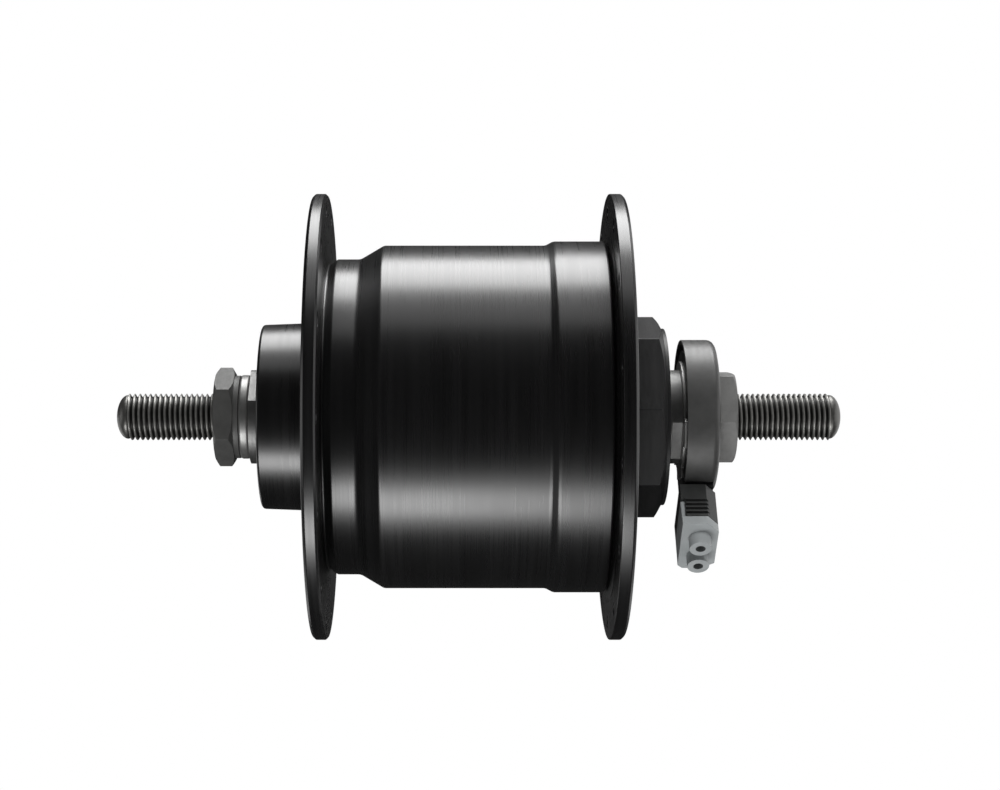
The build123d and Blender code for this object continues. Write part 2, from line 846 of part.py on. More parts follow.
earth_contact = contact(contact_places[0])
earth_contact.part.label = "earth_contact"
export_step(earth_contact.part, "parts/earth_contact.step")

live_contact = contact(contact_places[1])
live_contact.part.label = "live_contact"
export_step(live_contact.part, "parts/live_contact.step")

# The metal cover: a drawn cup, open towards the hub, with a window for the block
cover_inside = cover_radius - cover_wall
window_top = plug_offset + block_width / 2 + window_margin
with BuildPart() as terminal_cover:
    with BuildSketch(Plane.XY):
        with BuildLine():
            Polyline(
                (axle_bore, right_locknut_inner),
                (cover_radius - cover_edge, right_locknut_inner),
                (cover_radius, right_locknut_inner - cover_edge),
                (cover_radius, cover_left),
                (cover_inside, cover_left),
                (cover_inside, housing_right + cover_wall - cover_edge),
                (cover_inside + cover_wall - cover_edge, housing_right),
                (axle_bore, housing_right),
                close=True,
            )
        make_face()
    revolve(axis=Axis.Y)
    with BuildSketch(toward_plug(housing_right)):
        with Locations((cover_radius, window_top - cover_radius)):
            Rectangle(2 * cover_radius, 2 * cover_radius)
    extrude(amount=housing_right - cover_left, mode=Mode.SUBTRACT)
terminal_cover.part.label = "terminal_cover"
export_step(terminal_cover.part, "parts/terminal_cover.step")

# The plug. Its section is drawn with X along the axle and Y across its height.
plug_right = plug_left + plug_width
plug_top = plug_offset + plug_height / 2
plug_bottom = plug_offset - plug_height / 2
plug_cap_end = plug_start + plug_cap_length
plug_end = plug_cap_end + plug_cover_thickness
cheek_start = plug_cap_end - cheek_length


def plug_section(reach, left):
    """The outline of the plug at this reach from the axle, its left side at this place."""
    with BuildSketch(along_plug(reach)) as made:
        with BuildLine():
            Polyline(
                (left, plug_top),
                (plug_right - plug_top_bevel_width, plug_top),
                (plug_right, plug_top - plug_top_bevel_height),
                (plug_right, plug_bottom + plug_bottom_bevel_height),
                (plug_right - plug_bottom_bevel_width, plug_bottom),
                (left + plug_corner, plug_bottom),
                (left, plug_bottom + plug_corner),
                close=True,
            )
        make_face()
    return made


cheek_right = plug_left + cheek_thickness
socket_left = tongue_left - contact_thickness - plug_contact_gap
socket_right = tongue_right + plug_contact_gap
socket_height = tongue_width + 2 * plug_tongue_gap
socket_end = tongue_end + plug_floor_gap
with BuildPart() as connector_cap:
    extrude(plug_section(plug_start, plug_left).sketch, amount=cheek_start - plug_start)
    extrude(plug_section(cheek_start, cheek_right).sketch, amount=cheek_length)
    with BuildSketch(along_plug(plug_start)):
        with Locations(((socket_left + socket_right) / 2, plug_offset)):
            Rectangle(socket_right - socket_left, socket_height)
    extrude(amount=socket_end - plug_start, mode=Mode.SUBTRACT)
    # Grip grooves across both narrow sides
    for number in range(grip_groove_count):
        groove_start = plug_cap_end - grip_end_inset - number * grip_groove_pitch
        with BuildSketch(along_plug(groove_start)):
            with Locations(
                (plug_left + plug_width / 2, plug_top), (plug_left + plug_width / 2, plug_bottom)
            ):
                Rectangle(plug_width + 2 * overrun, 2 * grip_groove_depth)
        extrude(amount=-grip_groove_width, mode=Mode.SUBTRACT)
connector_cap.part.label = "connector_cap"
export_step(connector_cap.part, "parts/connector_cap.step")

# The end piece of the plug: a plate with a cheek along the cap and a boss for each wire
with BuildPart() as connector_cover:
    extrude(plug_section(plug_cap_end, plug_left).sketch, amount=plug_cover_thickness)
    with BuildSketch(along_plug(cheek_start)):
        with Locations((plug_left + cheek_thickness / 2, plug_offset)):
            Rectangle(cheek_thickness, plug_height - 2 * plug_corner)
    extrude(amount=cheek_length)
    with BuildSketch(along_plug(plug_end)):
        for contact_place in contact_places:
            with Locations((plug_left + plug_width / 2, contact_place)):
                Circle(wire_boss_radius)
    extrude(amount=wire_boss_length)
    with BuildSketch(along_plug(plug_cap_end)):
        for contact_place in contact_places:
            with Locations((plug_left + plug_width / 2, contact_place)):
                Circle(wire_hole_radius)
    extrude(amount=plug_cover_thickness + wire_boss_length, mode=Mode.SUBTRACT)
connector_cover.part.label = "connector_cover"
export_step(connector_cover.part, "parts/connector_cover.step")
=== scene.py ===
# %% [markdown]
# # A bicycle hub dynamo, dressed for its photograph
#
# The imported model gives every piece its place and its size. This lesson gives the pieces what a packed
# model lacks: cut threads, broken edges, turned grain, moulded plastic and the light of a studio.
# Everything is in metres, and the axle lies along Y with the electrical terminal at its +Y end.

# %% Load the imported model
import json
from math import cos, pi, radians, sin

import bmesh
import bpy
from mathutils import Matrix, Vector

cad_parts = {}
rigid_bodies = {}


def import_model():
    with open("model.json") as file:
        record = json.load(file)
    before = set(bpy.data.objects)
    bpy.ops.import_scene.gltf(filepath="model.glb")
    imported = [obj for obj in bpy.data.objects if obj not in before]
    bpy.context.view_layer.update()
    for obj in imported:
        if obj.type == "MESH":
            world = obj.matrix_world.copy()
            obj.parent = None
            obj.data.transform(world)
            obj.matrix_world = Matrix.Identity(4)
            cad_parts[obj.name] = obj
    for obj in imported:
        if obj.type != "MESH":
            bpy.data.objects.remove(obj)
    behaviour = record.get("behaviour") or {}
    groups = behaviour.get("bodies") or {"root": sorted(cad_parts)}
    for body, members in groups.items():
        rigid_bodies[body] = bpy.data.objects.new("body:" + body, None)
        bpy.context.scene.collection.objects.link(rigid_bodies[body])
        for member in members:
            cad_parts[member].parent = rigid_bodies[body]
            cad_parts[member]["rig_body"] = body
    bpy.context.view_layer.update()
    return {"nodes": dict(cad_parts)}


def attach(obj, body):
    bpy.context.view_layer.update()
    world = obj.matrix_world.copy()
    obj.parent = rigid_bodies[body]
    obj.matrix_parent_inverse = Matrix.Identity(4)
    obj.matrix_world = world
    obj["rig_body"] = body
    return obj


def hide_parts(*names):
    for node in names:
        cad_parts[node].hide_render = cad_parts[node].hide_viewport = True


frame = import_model()
nodes = frame["nodes"]
MM = 0.001
print("packed nodes:", len(nodes))

# %% Sizes that several cells use, in millimetres
AXLE_RADIUS = 4.5
AXLE_MIDDLE = 0.7
AXLE_ENDS = ((-1, -69.3), (1, 70.7))
TIP_DOME = 2.2
PLUG_TILT = radians(50)

# %% [markdown]
# ## The camera
#
# A catalogue picture is taken from some way off, so that the two flanges look alike. The camera stands
# level with the axle, a little to the left of the hub's middle, and the picture's frame is shifted
# instead of the camera being turned, which keeps the flanges upright.

# %% Camera
DISTANCE = 0.430
PIXELS_PER_MM = 5.16
PICTURE_WIDTH = 1000
PICTURE_HEIGHT = 790
CAMERA_ALONG = -0.00397
CAMERA_COLUMN = 454.5
AXLE_ROW = 416.9
camera_data = bpy.data.cameras.new("camera")
camera = bpy.data.objects.new("camera", camera_data)
bpy.context.scene.collection.objects.link(camera)
bpy.context.scene.camera = camera
camera.location = (DISTANCE, CAMERA_ALONG, 0)
camera.rotation_euler = (pi / 2, 0, pi / 2)
camera_data.sensor_width = 36
camera_data.lens = PIXELS_PER_MM * DISTANCE / MM * camera_data.sensor_width / PICTURE_WIDTH
camera_data.shift_x = (PICTURE_WIDTH / 2 - CAMERA_COLUMN) / PICTURE_WIDTH
camera_data.shift_y = (AXLE_ROW - PICTURE_HEIGHT / 2) / PICTURE_WIDTH
camera_data.clip_start = 0.01
bpy.context.scene.view_settings.view_transform = "Standard"
print("lens", round(camera_data.lens, 2))


# %% [markdown]
# ## Writing shader maths as sums
#
# A material is a graph of nodes. Written by hand, a simple sum takes many lines, so one small class
# wraps a socket and turns +, -, * and ** into Math nodes. Every other node comes from one method.

# %% Sockets that add up
class Signal:
    """One output socket that can be used in a sum."""

    def __init__(self, finish, socket):
        self.finish = finish
        self.socket = socket

    def sum_with(self, operation, first, second):
        return self.finish.node("ShaderNodeMath", {"operation": operation}, {0: first, 1: second})

    def __add__(self, other):
        return self.sum_with("ADD", self, other)

    def __sub__(self, other):
        return self.sum_with("SUBTRACT", self, other)

    def __mul__(self, other):
        return self.sum_with("MULTIPLY", self, other)

    def __pow__(self, other):
        return self.sum_with("POWER", self, other)


class Finish:
    """A material for one finish of the hub, with its Principled shader at hand."""

    COAT_ROUGHNESS = 0.1

    def __init__(self, name, colour, rough, metal=0.0, level=0.5, coat=0.0):
        self.material = bpy.data.materials.new(name)
        self.material.use_nodes = True
        self.tree = self.material.node_tree
        self.shader = self.tree.nodes["Principled BSDF"]
        self.shader.inputs["Base Color"].default_value = (*colour, 1)
        self.shader.inputs["Roughness"].default_value = rough
        self.shader.inputs["Metallic"].default_value = metal
        self.shader.inputs["Specular IOR Level"].default_value = level
        self.shader.inputs["Coat Weight"].default_value = coat
        self.shader.inputs["Coat Roughness"].default_value = self.COAT_ROUGHNESS

    def node(self, kind, settings, values, output=0):
        """A node of this kind: its settings first, then its sockets' values or links."""
        made = self.tree.nodes.new(kind)
        for key, value in settings.items():
            setattr(made, key, value)
        for key, value in values.items():
            if isinstance(value, Signal):
                self.tree.links.new(value.socket, made.inputs[key])
            else:
                made.inputs[key].default_value = value
        return Signal(self, made.outputs[output])

    def feed(self, name, signal):
        """Links a signal to one of the shader's sockets."""
        self.tree.links.new(signal.socket, self.shader.inputs[name])

    def place(self):
        """The point on the piece, in millimetres."""
        point = self.node("ShaderNodeTexCoord", {}, {}, "Object")
        return self.node(
            "ShaderNodeVectorMath", {"operation": "SCALE"}, {0: point, "Scale": 1 / MM}
        )

    def parts(self, vector):
        """The three numbers of a vector."""
        split = self.node("ShaderNodeSeparateXYZ", {}, {0: vector})
        outputs = split.socket.node.outputs
        return [Signal(self, outputs[i]) for i in range(3)]

    def noise(self, vector, scale, detail=2.0, rough=0.5):
        """Smooth noise from 0 to 1."""
        return self.node(
            "ShaderNodeTexNoise",
            {"noise_dimensions": "3D"},
            {"Vector": vector, "Scale": scale, "Detail": detail, "Roughness": rough},
        )

    def sum_with_one(self, operation, signal):
        """Maths on one number, such as its absolute value."""
        return self.node("ShaderNodeMath", {"operation": operation}, {0: signal})

    def level_of(self, signal, low, high, to_low=0.0, to_high=1.0):
        """Maps low..high to to_low..to_high and holds the ends."""
        return self.node(
            "ShaderNodeMapRange",
            {"clamp": True},
            {0: signal, 1: low, 2: high, 3: to_low, 4: to_high},
        )

    def blend(self, share, first, second):
        """Mixes two colours by a share from 0 to 1."""
        values = {0: share}
        values[6] = first if isinstance(first, Signal) else (*first, 1)
        values[7] = second if isinstance(second, Signal) else (*second, 1)
        return self.node("ShaderNodeMix", {"data_type": "RGBA"}, values, 2)

    def bump(self, height, depth_mm):
        """Feeds the shader's normal from a height of 0 to 1."""
        normal = self.node(
            "ShaderNodeBump", {}, {"Strength": 1.0, "Distance": depth_mm * MM, "Height": height}
        )
        self.feed("Normal", normal)


# %% [markdown]
# ## Turned metal
#
# Most of the hub comes off a lathe, and its light gives that away: the tool leaves rings so fine that
# they only show where a highlight breaks up. The rings run round the axle, so their noise is read by
# the place along the axle and the distance from it, and hardly changes round the piece.

# %% Rings left by the lathe
ROUND_DRIFT = 0.012
FINE_RINGS = 3.2
BROAD_RINGS = 0.7


def lathe_rings(finish, fine):
    """Noise in rings round the axle, with about `fine` rings per millimetre."""
    x, y, z = finish.parts(finish.place())
    distance = (x * x + z * z) ** 0.5
    rings = finish.node(
        "ShaderNodeCombineXYZ", {}, {0: y * fine, 1: distance * fine, 2: z * ROUND_DRIFT}
    )
    return finish.noise(rings, 1.0, 3.0, 0.65)


def anodised(name, colour, rough, ring_depth, level):
    """Black dyed aluminium with turned grain, a little paler where handling has polished it."""
    finish = Finish(name, colour, rough, level=level)
    grain = lathe_rings(finish, FINE_RINGS)
    broad = lathe_rings(finish, BROAD_RINGS)
    cloud = finish.noise(finish.place(), 0.06, 3.0)
    finish.feed(
        "Roughness",
        finish.level_of(grain, 0.3, 0.7, rough - 0.02, rough + 0.04)
        + finish.level_of(cloud, 0.3, 0.7, -0.02, 0.02),
    )
    shade = finish.blend(
        finish.level_of(broad, 0.35, 0.7), colour, tuple(c * 1.6 + 0.002 for c in colour)
    )
    finish.feed("Base Color", shade)
    finish.bump(grain, ring_depth)
    return finish.material


shell_black = anodised("shell_black", (0.003, 0.003, 0.0032), 0.28, 0.0013, 0.8)
cap_black = anodised("cap_black", (0.0105, 0.0105, 0.0108), 0.34, 0.0, 0.25)
print("black finishes made")


# %% [markdown]
# ## Steel
#
# The axle, nuts, cones and plates are steel with different skins. Most share one recipe: a metal whose
# colour drifts slightly and whose roughness follows fine scratches. The axle's thread is painted dark in
# its roots, as oil and painted shade, and painted bright on its crests, as a painted highlight.

# %% Steel finishes
STEEL_RINGS = 2.2


def steel(name, colour, rough, drift=0.25, scratch=0.002, metal=1.0):
    """Steel whose colour drifts by a share of itself, with scratches this many millimetres deep."""
    finish = Finish(name, colour, rough, metal=metal)
    point = finish.place()
    cloud = finish.noise(point, 0.35, 4.0, 0.6)
    fleck = finish.noise(point, 2.4, 3.0, 0.7)
    grain = lathe_rings(finish, STEEL_RINGS)
    dark = tuple(c * (1 - drift) for c in colour)
    bright = tuple(min(1.0, c * (1 + drift)) for c in colour)
    finish.feed("Base Color", finish.blend(finish.level_of(cloud, 0.32, 0.68), dark, bright))
    finish.feed(
        "Roughness",
        finish.level_of(grain, 0.3, 0.7, rough - 0.06, rough + 0.06)
        + finish.level_of(fleck, 0.4, 0.75, 0.0, 0.1),
    )
    finish.bump(grain * 0.6 + fleck * 0.4, scratch)
    return finish.material


axle_steel = steel("axle_steel", (0.15, 0.147, 0.14), 0.4, metal=0.75)
blackened_steel = steel("blackened_steel", (0.063, 0.063, 0.061), 0.47, 0.12, metal=0.25)
grey_steel = steel("grey_steel", (0.18, 0.18, 0.176), 0.46, 0.12, metal=0.4)
bright_steel = steel("bright_steel", (0.15, 0.15, 0.148), 0.4, 0.15, 0.001, metal=0.85)
cover_steel = steel("cover_steel", (0.068, 0.068, 0.067), 0.36, 0.12, 0.001, metal=0.22)
plate_steel = steel("plate_steel", (0.26, 0.26, 0.255), 0.4, 0.15, 0.001, metal=0.85)

# The thread's roots are painted dark, for oil and painted shade, and its crests get a painted highlight
ROOT_OIL_AND_SHADE = (0.012, 0.012, 0.011)
CREST_HIGHLIGHT_TONE = (0.36, 0.355, 0.34)
TIP_TONE_SHARE = 0.42


def threaded_steel():
    """The axle's steel, with a painted highlight on the crests of the thread and oil and painted shade
    darkening its roots.
    """
    finish = Finish("threaded_steel", (0.2, 0.2, 0.2), 0.38, metal=0.8)
    x, y, z = finish.parts(finish.place())
    radius = (x * x + z * z) ** 0.5
    oil_and_shade_up_to, bright_from = 4.05, 4.46
    crest = finish.level_of(radius, oil_and_shade_up_to, bright_from)
    thread_stops, dome_starts = 67.7, 68.1
    from_middle = finish.sum_with_one("ABSOLUTE", y - AXLE_MIDDLE)
    dome = finish.level_of(from_middle, thread_stops, dome_starts)
    open_place = finish.node(
        "ShaderNodeMath", {"operation": "MAXIMUM"}, {0: crest, 1: dome * TIP_TONE_SHARE}
    )
    cloud = finish.noise(finish.place(), 1.1, 3.0)
    tone = open_place * finish.level_of(cloud, 0.3, 0.7, 0.75, 1.0)
    # The base colour carries the painted shade in the roots and the painted highlight on the crests
    finish.feed("Base Color", finish.blend(tone, ROOT_OIL_AND_SHADE, CREST_HIGHLIGHT_TONE))
    finish.feed("Roughness", finish.level_of(cloud, 0.3, 0.7, 0.34, 0.46))
    finish.bump(cloud, 0.004)
    return finish.material


thread_finish = threaded_steel()
ball_steel = steel("ball_steel", (0.78, 0.78, 0.79), 0.08, 0.05, 0.0005)
soft_iron = steel("soft_iron", (0.34, 0.34, 0.35), 0.42)
ferrite = steel("ferrite", (0.07, 0.07, 0.075), 0.6)
tinned_brass = steel("tinned_brass", (0.62, 0.55, 0.36), 0.3)


# %% [markdown]
# ## Plastic, rubber and copper
#
# Moulded plastic takes its skin from a spark-worn mould, a fine even pebble. The coil is enamelled
# copper, which shows as rows of round turns.

# %% Plastic, rubber and copper
PEBBLE = 5.0
PEBBLE_DEPTH = 0.006
PLASTIC_LEVEL = 0.45


def moulded(name, colour, rough):
    """Moulded plastic with a pebbled skin, a little paler in places."""
    finish = Finish(name, colour, rough, level=PLASTIC_LEVEL)
    point = finish.place()
    grain = finish.noise(point, PEBBLE, 3.0, 0.6)
    cloud = finish.noise(point, 0.3, 3.0)
    paler = tuple(c * 1.12 + 0.003 for c in colour)
    finish.feed("Base Color", finish.blend(finish.level_of(cloud, 0.35, 0.65), colour, paler))
    finish.feed("Roughness", finish.level_of(grain, 0.3, 0.7, rough - 0.05, rough + 0.08))
    finish.bump(grain, PEBBLE_DEPTH)
    return finish.material


cap_plastic = moulded("cap_plastic", (0.022, 0.023, 0.0225), 0.45)
housing_plastic = moulded("housing_plastic", (0.014, 0.014, 0.015), 0.5)
nylon = moulded("nylon", (0.72, 0.69, 0.60), 0.5)
wire_skin = moulded("wire_skin", (0.45, 0.03, 0.02), 0.35)
seal_rubber = moulded("seal_rubber", (0.012, 0.012, 0.012), 0.6)


def plug_cover_plastic():
    """Pale grey plastic, with painted shade inside the two wire holes."""
    finish = Finish("plug_cover_plastic", (0.33, 0.35, 0.355), 0.42, level=PLASTIC_LEVEL)
    x, y, z = finish.parts(finish.place())
    # Where the two holes lie: along the axle, and across the plug, which points 50 degrees down
    holes_along = 42.2
    holes_below = 8.1
    hole_aside = 2.75
    hole_edge, skin_starts = 0.84, 0.96
    height = x * sin(PLUG_TILT) + z * cos(PLUG_TILT) + holes_below
    aside = finish.sum_with_one("ABSOLUTE", height) - hole_aside
    near = ((y - holes_along) ** 2 + aside ** 2) ** 0.5
    grain = finish.noise(finish.place(), PEBBLE, 3.0, 0.6)
    cloud = finish.noise(finish.place(), 0.3, 3.0)
    pale = finish.blend(
        finish.level_of(cloud, 0.35, 0.65), (0.31, 0.33, 0.335), (0.35, 0.37, 0.375)
    )
    # The inside of each wire hole is painted near black, as painted shade
    hole_painted_shade = (0.01, 0.01, 0.01)
    on_skin = finish.level_of(near, hole_edge, skin_starts)
    finish.feed("Base Color", finish.blend(on_skin, hole_painted_shade, pale))
    finish.feed("Roughness", finish.level_of(grain, 0.3, 0.7, 0.38, 0.5))
    finish.bump(grain, PEBBLE_DEPTH)
    return finish.material


pale_plastic = plug_cover_plastic()


COIL_TURN = 0.9


def enamelled_copper():
    """Copper wire under enamel, wound in turns side by side along the axle."""
    finish = Finish("enamelled_copper", (0.55, 0.19, 0.07), 0.3, metal=1.0, coat=0.5)
    x, y, z = finish.parts(finish.place())
    turns = finish.node("ShaderNodeMath", {"operation": "SINE"}, {0: y * (2 * pi / COIL_TURN)})
    height = finish.level_of(turns, -1.0, 1.0)
    cloud = finish.noise(finish.place(), 0.4, 3.0)
    finish.feed(
        "Base Color",
        finish.blend(finish.level_of(cloud, 0.3, 0.7), (0.42, 0.13, 0.04), (0.62, 0.24, 0.09)),
    )
    finish.bump(height, 0.15)
    return finish.material


copper = enamelled_copper()
print("finishes made:", len(bpy.data.materials))


# %% [markdown]
# ## From a bmesh to a piece
#
# A finished piece sits at the origin with its place in its mesh, rides on a body, and may stand for
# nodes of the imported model. Smooth shading stops at edges sharper than a limit.

# %% Making a piece
def piece(name, mesh, material, body, stands_for=(), crease=32):
    """An object from a bmesh, riding on a body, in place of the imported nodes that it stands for."""
    data = bpy.data.meshes.new(name)
    bmesh.ops.recalc_face_normals(mesh, faces=mesh.faces)
    mesh.to_mesh(data)
    mesh.free()
    made = bpy.data.objects.new(name, data)
    bpy.context.scene.collection.objects.link(made)
    finish_mesh(data, material, crease)
    # Large flat faces keep their own normals, so a small round beside one doesn't shade it
    even = made.modifiers.new("even_normals", "WEIGHTED_NORMAL")
    even.keep_sharp = True
    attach(made, body)
    if stands_for:
        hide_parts(*stands_for)
    return made


def finish_mesh(data, material, crease):
    """Smooth shading up to edges of this many degrees, and one material."""
    data.polygons.foreach_set("use_smooth", [True] * len(data.polygons))
    data.set_sharp_from_angle(angle=radians(crease))
    data.materials.clear()
    data.materials.append(material)
    data.update()


# %% [markdown]
# ## Turning
#
# A lathe cuts a profile, and so does the spin operator: the profile is drawn as points of distance from
# the axle and place along it, some of its corners are rounded by a vertex bevel, and it is then spun
# once round the axle.

# %% Turning a profile
CORNER_SEGMENTS = 4
MERGE_WITHIN = 0.0005


def turned(outline, steps=192):
    """A closed profile of (radius, place) or (radius, place, corner radius), spun round the axle."""
    mesh = bmesh.new()
    verts = [mesh.verts.new((spot[0] * MM, spot[1] * MM, 0)) for spot in outline]
    for first, second in zip(verts, verts[1:] + verts[:1]):
        mesh.edges.new((first, second))
    for vert, spot in zip(verts, outline):
        if len(spot) > 2:
            bmesh.ops.bevel(
                mesh,
                geom=[vert],
                offset=spot[2] * MM,
                segments=CORNER_SEGMENTS,
                profile=0.5,
                affect="VERTICES",
                material=-1,
            )
    bmesh.ops.spin(
        mesh,
        geom=mesh.verts[:] + mesh.edges[:],
        cent=(0, 0, 0),
        axis=(0, 1, 0),
        angle=2 * pi,
        steps=steps,
        use_merge=True,
    )
    bmesh.ops.remove_doubles(mesh, verts=mesh.verts, dist=MERGE_WITHIN * MM)
    bmesh.ops.delete(mesh, geom=[edge for edge in mesh.edges if edge.is_wire], context="EDGES")
    return mesh


# %% [markdown]
# ## The shell
#
# The shell is one aluminium forging, turned all over: left boss, flange, neck, barrel, raised shoulder
# and right flange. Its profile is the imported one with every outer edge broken, since the thin bright
# lines that those edges catch are most of what the eye sees of a black part. The spoke holes are cut
# last, with one cutter for all of them, and each hole has a small countersink for the bend of a spoke.

# %% The shell's profile
shell_outline = [
    (14.0, -41.0, 0.25),
    (17.8, -41.0, 0.6),
    (18.15, -31.7),
    (18.9, -31.0, 0.3),
    (42.45, -31.0, 0.15),
    (43.0, -30.45, 0.15),
    (43.0, -28.7, 0.05),
    (42.6, -28.3, 0.05),
    (31.2, -28.3, 0.3),
    (29.5, -28.15, 0.15),
    (29.4, -27.8, 0.15),
    (30.45, -26.4, 0.2),
    (30.45, -22.0, 0.5),
    (33.1, -17.5, 0.35),
    (33.1, 13.5, 0.4),
    (33.9, 15.0, 0.4),
    (33.9, 24.7, 0.35),
    (32.6, 24.95),
    (34.9, 25.65, 0.25),
    (43.0, 25.65, 0.2),
    (43.0, 27.8, 0.15),
    (42.45, 28.35, 0.15),
    (31.0, 28.35, 0.15),
    (31.0, -16.5),
    (27.6, -16.5),
    (27.6, -28.0),
    (11.5, -28.0),
    (11.5, -30.2),
    (14.0, -30.2),
]
shell_mesh = turned(shell_outline, 256)
print("shell profile spun:", len(shell_mesh.faces), "faces")

# %% The spoke holes
SPOKES = 14
HOLE_RADIUS = 1.3
HOLE_REACH = 2.1
SINK_WIDTH = 0.75
SINK_FOOT = 1.1
SINK_TOP = 1.85
# The middle of each flange, the radius of its spoke circle and the turn of its first hole
SPOKE_RINGS = ((-29.65, 40.2, 0), (27.0, 39.4, pi / SPOKES))
cutter = bmesh.new()
for flange, circle, first_turn in SPOKE_RINGS:
    for number in range(SPOKES):
        # Turned up from +X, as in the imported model
        turn = first_turn + number * 2 * pi / SPOKES
        spot = Vector((circle * cos(turn), flange, circle * sin(turn))) * MM
        lie = Matrix.Translation(spot) @ Matrix.Rotation(pi / 2, 4, "X")
        for radius_1, radius_2, low, high in (
            (HOLE_RADIUS, HOLE_RADIUS, -HOLE_REACH, HOLE_REACH),
            (HOLE_RADIUS + SINK_WIDTH, HOLE_RADIUS, -SINK_TOP, -SINK_FOOT),
            (HOLE_RADIUS, HOLE_RADIUS + SINK_WIDTH, SINK_FOOT, SINK_TOP),
        ):
            bmesh.ops.create_cone(
                cutter,
                cap_ends=True,
                segments=28,
                radius1=radius_1 * MM,
                radius2=radius_2 * MM,
                depth=(high - low) * MM,
                matrix=lie @ Matrix.Translation((0, 0, (low + high) / 2 * MM)),
            )


def scratch_object(name, mesh):
    """An object that is only used to cut others and is removed afterwards."""
    data = bpy.data.meshes.new(name)
    bmesh.ops.recalc_face_normals(mesh, faces=mesh.faces)
    mesh.to_mesh(data)
    mesh.free()
    made = bpy.data.objects.new(name, data)
    bpy.context.scene.collection.objects.link(made)
    return made


def cut(mesh, cutter_mesh):
    """The first mesh without what the second one fills."""
    body = scratch_object("to_cut", mesh)
    tool = scratch_object("cutter", cutter_mesh)
    step = body.modifiers.new("cut", "BOOLEAN")
    step.operation = "DIFFERENCE"
    step.solver = "EXACT"
    step.use_self = True
    step.object = tool
    bpy.context.view_layer.update()
    graph = bpy.context.evaluated_depsgraph_get()
    result = bmesh.new()
    result.from_mesh(body.evaluated_get(graph).to_mesh())
    bpy.data.objects.remove(body)
    bpy.data.objects.remove(tool)
    return result


shell_mesh = cut(shell_mesh, cutter)
shell = piece("turned_shell", shell_mesh, shell_black, "shell", ["hub_shell"])
print("shell with holes:", len(shell.data.polygons), "faces")


# %% [markdown]
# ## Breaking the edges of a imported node
#
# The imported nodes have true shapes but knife-sharp edges, and no real edge is sharp. A copy of the
# node's mesh is merged, its flat triangles are joined, and its sharp edges get a small bevel.

# %% Copies with broken edges
SAME_POINT = 0.001
SAME_PLANE = 0.4


def joined_copy(node):
    """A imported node's mesh with its points merged and its flat triangles joined."""
    mesh = bmesh.new()
    mesh.from_mesh(nodes[node].data)
    bmesh.ops.remove_doubles(mesh, verts=mesh.verts, dist=SAME_POINT * MM)
    bmesh.ops.dissolve_limit(
        mesh, angle_limit=radians(SAME_PLANE), verts=mesh.verts, edges=mesh.edges
    )
    return mesh


SHARPER_THAN = 24


def break_edges(mesh, width, segments=2):
    """Bevels every edge that turns by more than some degrees."""
    sharp = [
        edge
        for edge in mesh.edges
        if edge.is_manifold and edge.calc_face_angle(0) > radians(SHARPER_THAN)
    ]
    bmesh.ops.bevel(
        mesh,
        geom=sharp,
        offset=width * MM,
        offset_type="OFFSET",
        segments=segments,
        profile=0.5,
        affect="EDGES",
        clamp_overlap=True,
        material=-1,
    )


def dressed(node, material, width, segments=2):
    """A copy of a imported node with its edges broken, in place of the node."""
    mesh = joined_copy(node)
    break_edges(mesh, width, segments)
    body = nodes[node]["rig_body"]
    return piece(node + "_dressed", mesh, material, body, [node])


dressed("right_end_cap", cap_black, 0.25, 3)
dressed("left_locknut", blackened_steel, 0.14)
dressed("right_locknut", grey_steel, 0.3, 3)
dressed("left_spacer", plate_steel, 0.6, 4)
dressed("left_cone", bright_steel, 0.2)
dressed("right_cone", bright_steel, 0.2)
dressed("earth_plate", plate_steel, 0.1)
dressed("terminal_housing", housing_plastic, 0.12)
dressed("left_dust_seal", seal_rubber, 0.15)
dressed("right_dust_seal", seal_rubber, 0.15)
dressed("connector_cap", cap_plastic, 0.08)
dressed("connector_cover", pale_plastic, 0.12)
print("edges broken on the nuts, cones, cap, plate, housing and plug")

# %% [markdown]
# ## The axle
#
# The ends of the axle are rolled with a 1 mm thread. The spin operator makes a helix when it also moves
# along: one pitch of the thread's profile is spun many turns, moving one pitch a turn, so each turn
# meets the next. Two planes then cut the helix to length.

# %% A cut thread
PITCH = 1.0
THREAD_DEPTH = 0.58
THREAD_MERGE = 0.002
ON_PLANE = 1e-7


def threaded_rod(start, end, steps=48):
    """A threaded rod between two places along the axle, in this many steps to the turn."""
    mesh = bmesh.new()
    root = AXLE_RADIUS - THREAD_DEPTH
    # Radius and share of the pitch
    shape = [
        (root, 0.0),
        (root, 0.13),
        (AXLE_RADIUS, 0.45),
        (AXLE_RADIUS, 0.56),
        (root, 0.88),
        (root, 1.0),
    ]
    begin = start - PITCH
    verts = [mesh.verts.new((r * MM, (begin + along * PITCH) * MM, 0)) for r, along in shape]
    for first, second in zip(verts, verts[1:]):
        mesh.edges.new((first, second))
    turns = int((end - start) / PITCH) + 3
    bmesh.ops.spin(
        mesh,
        geom=mesh.verts[:] + mesh.edges[:],
        cent=(0, 0, 0),
        axis=(0, 1, 0),
        dvec=(0, PITCH * MM / steps, 0),
        angle=2 * pi * turns,
        steps=steps * turns,
    )
    bmesh.ops.remove_doubles(mesh, verts=mesh.verts, dist=THREAD_MERGE * MM)
    for place, facing in ((start, -1), (end, 1)):
        bmesh.ops.bisect_plane(
            mesh,
            geom=mesh.verts[:] + mesh.edges[:] + mesh.faces[:],
            plane_co=(0, place * MM, 0),
            plane_no=(0, facing, 0),
            clear_outer=True,
        )
        rim = [
            edge
            for edge in mesh.edges
            if edge.is_boundary
            and all(abs(vert.co.y - place * MM) < ON_PLANE for vert in edge.verts)
        ]
        bmesh.ops.edgeloop_fill(mesh, edges=rim)
    return mesh


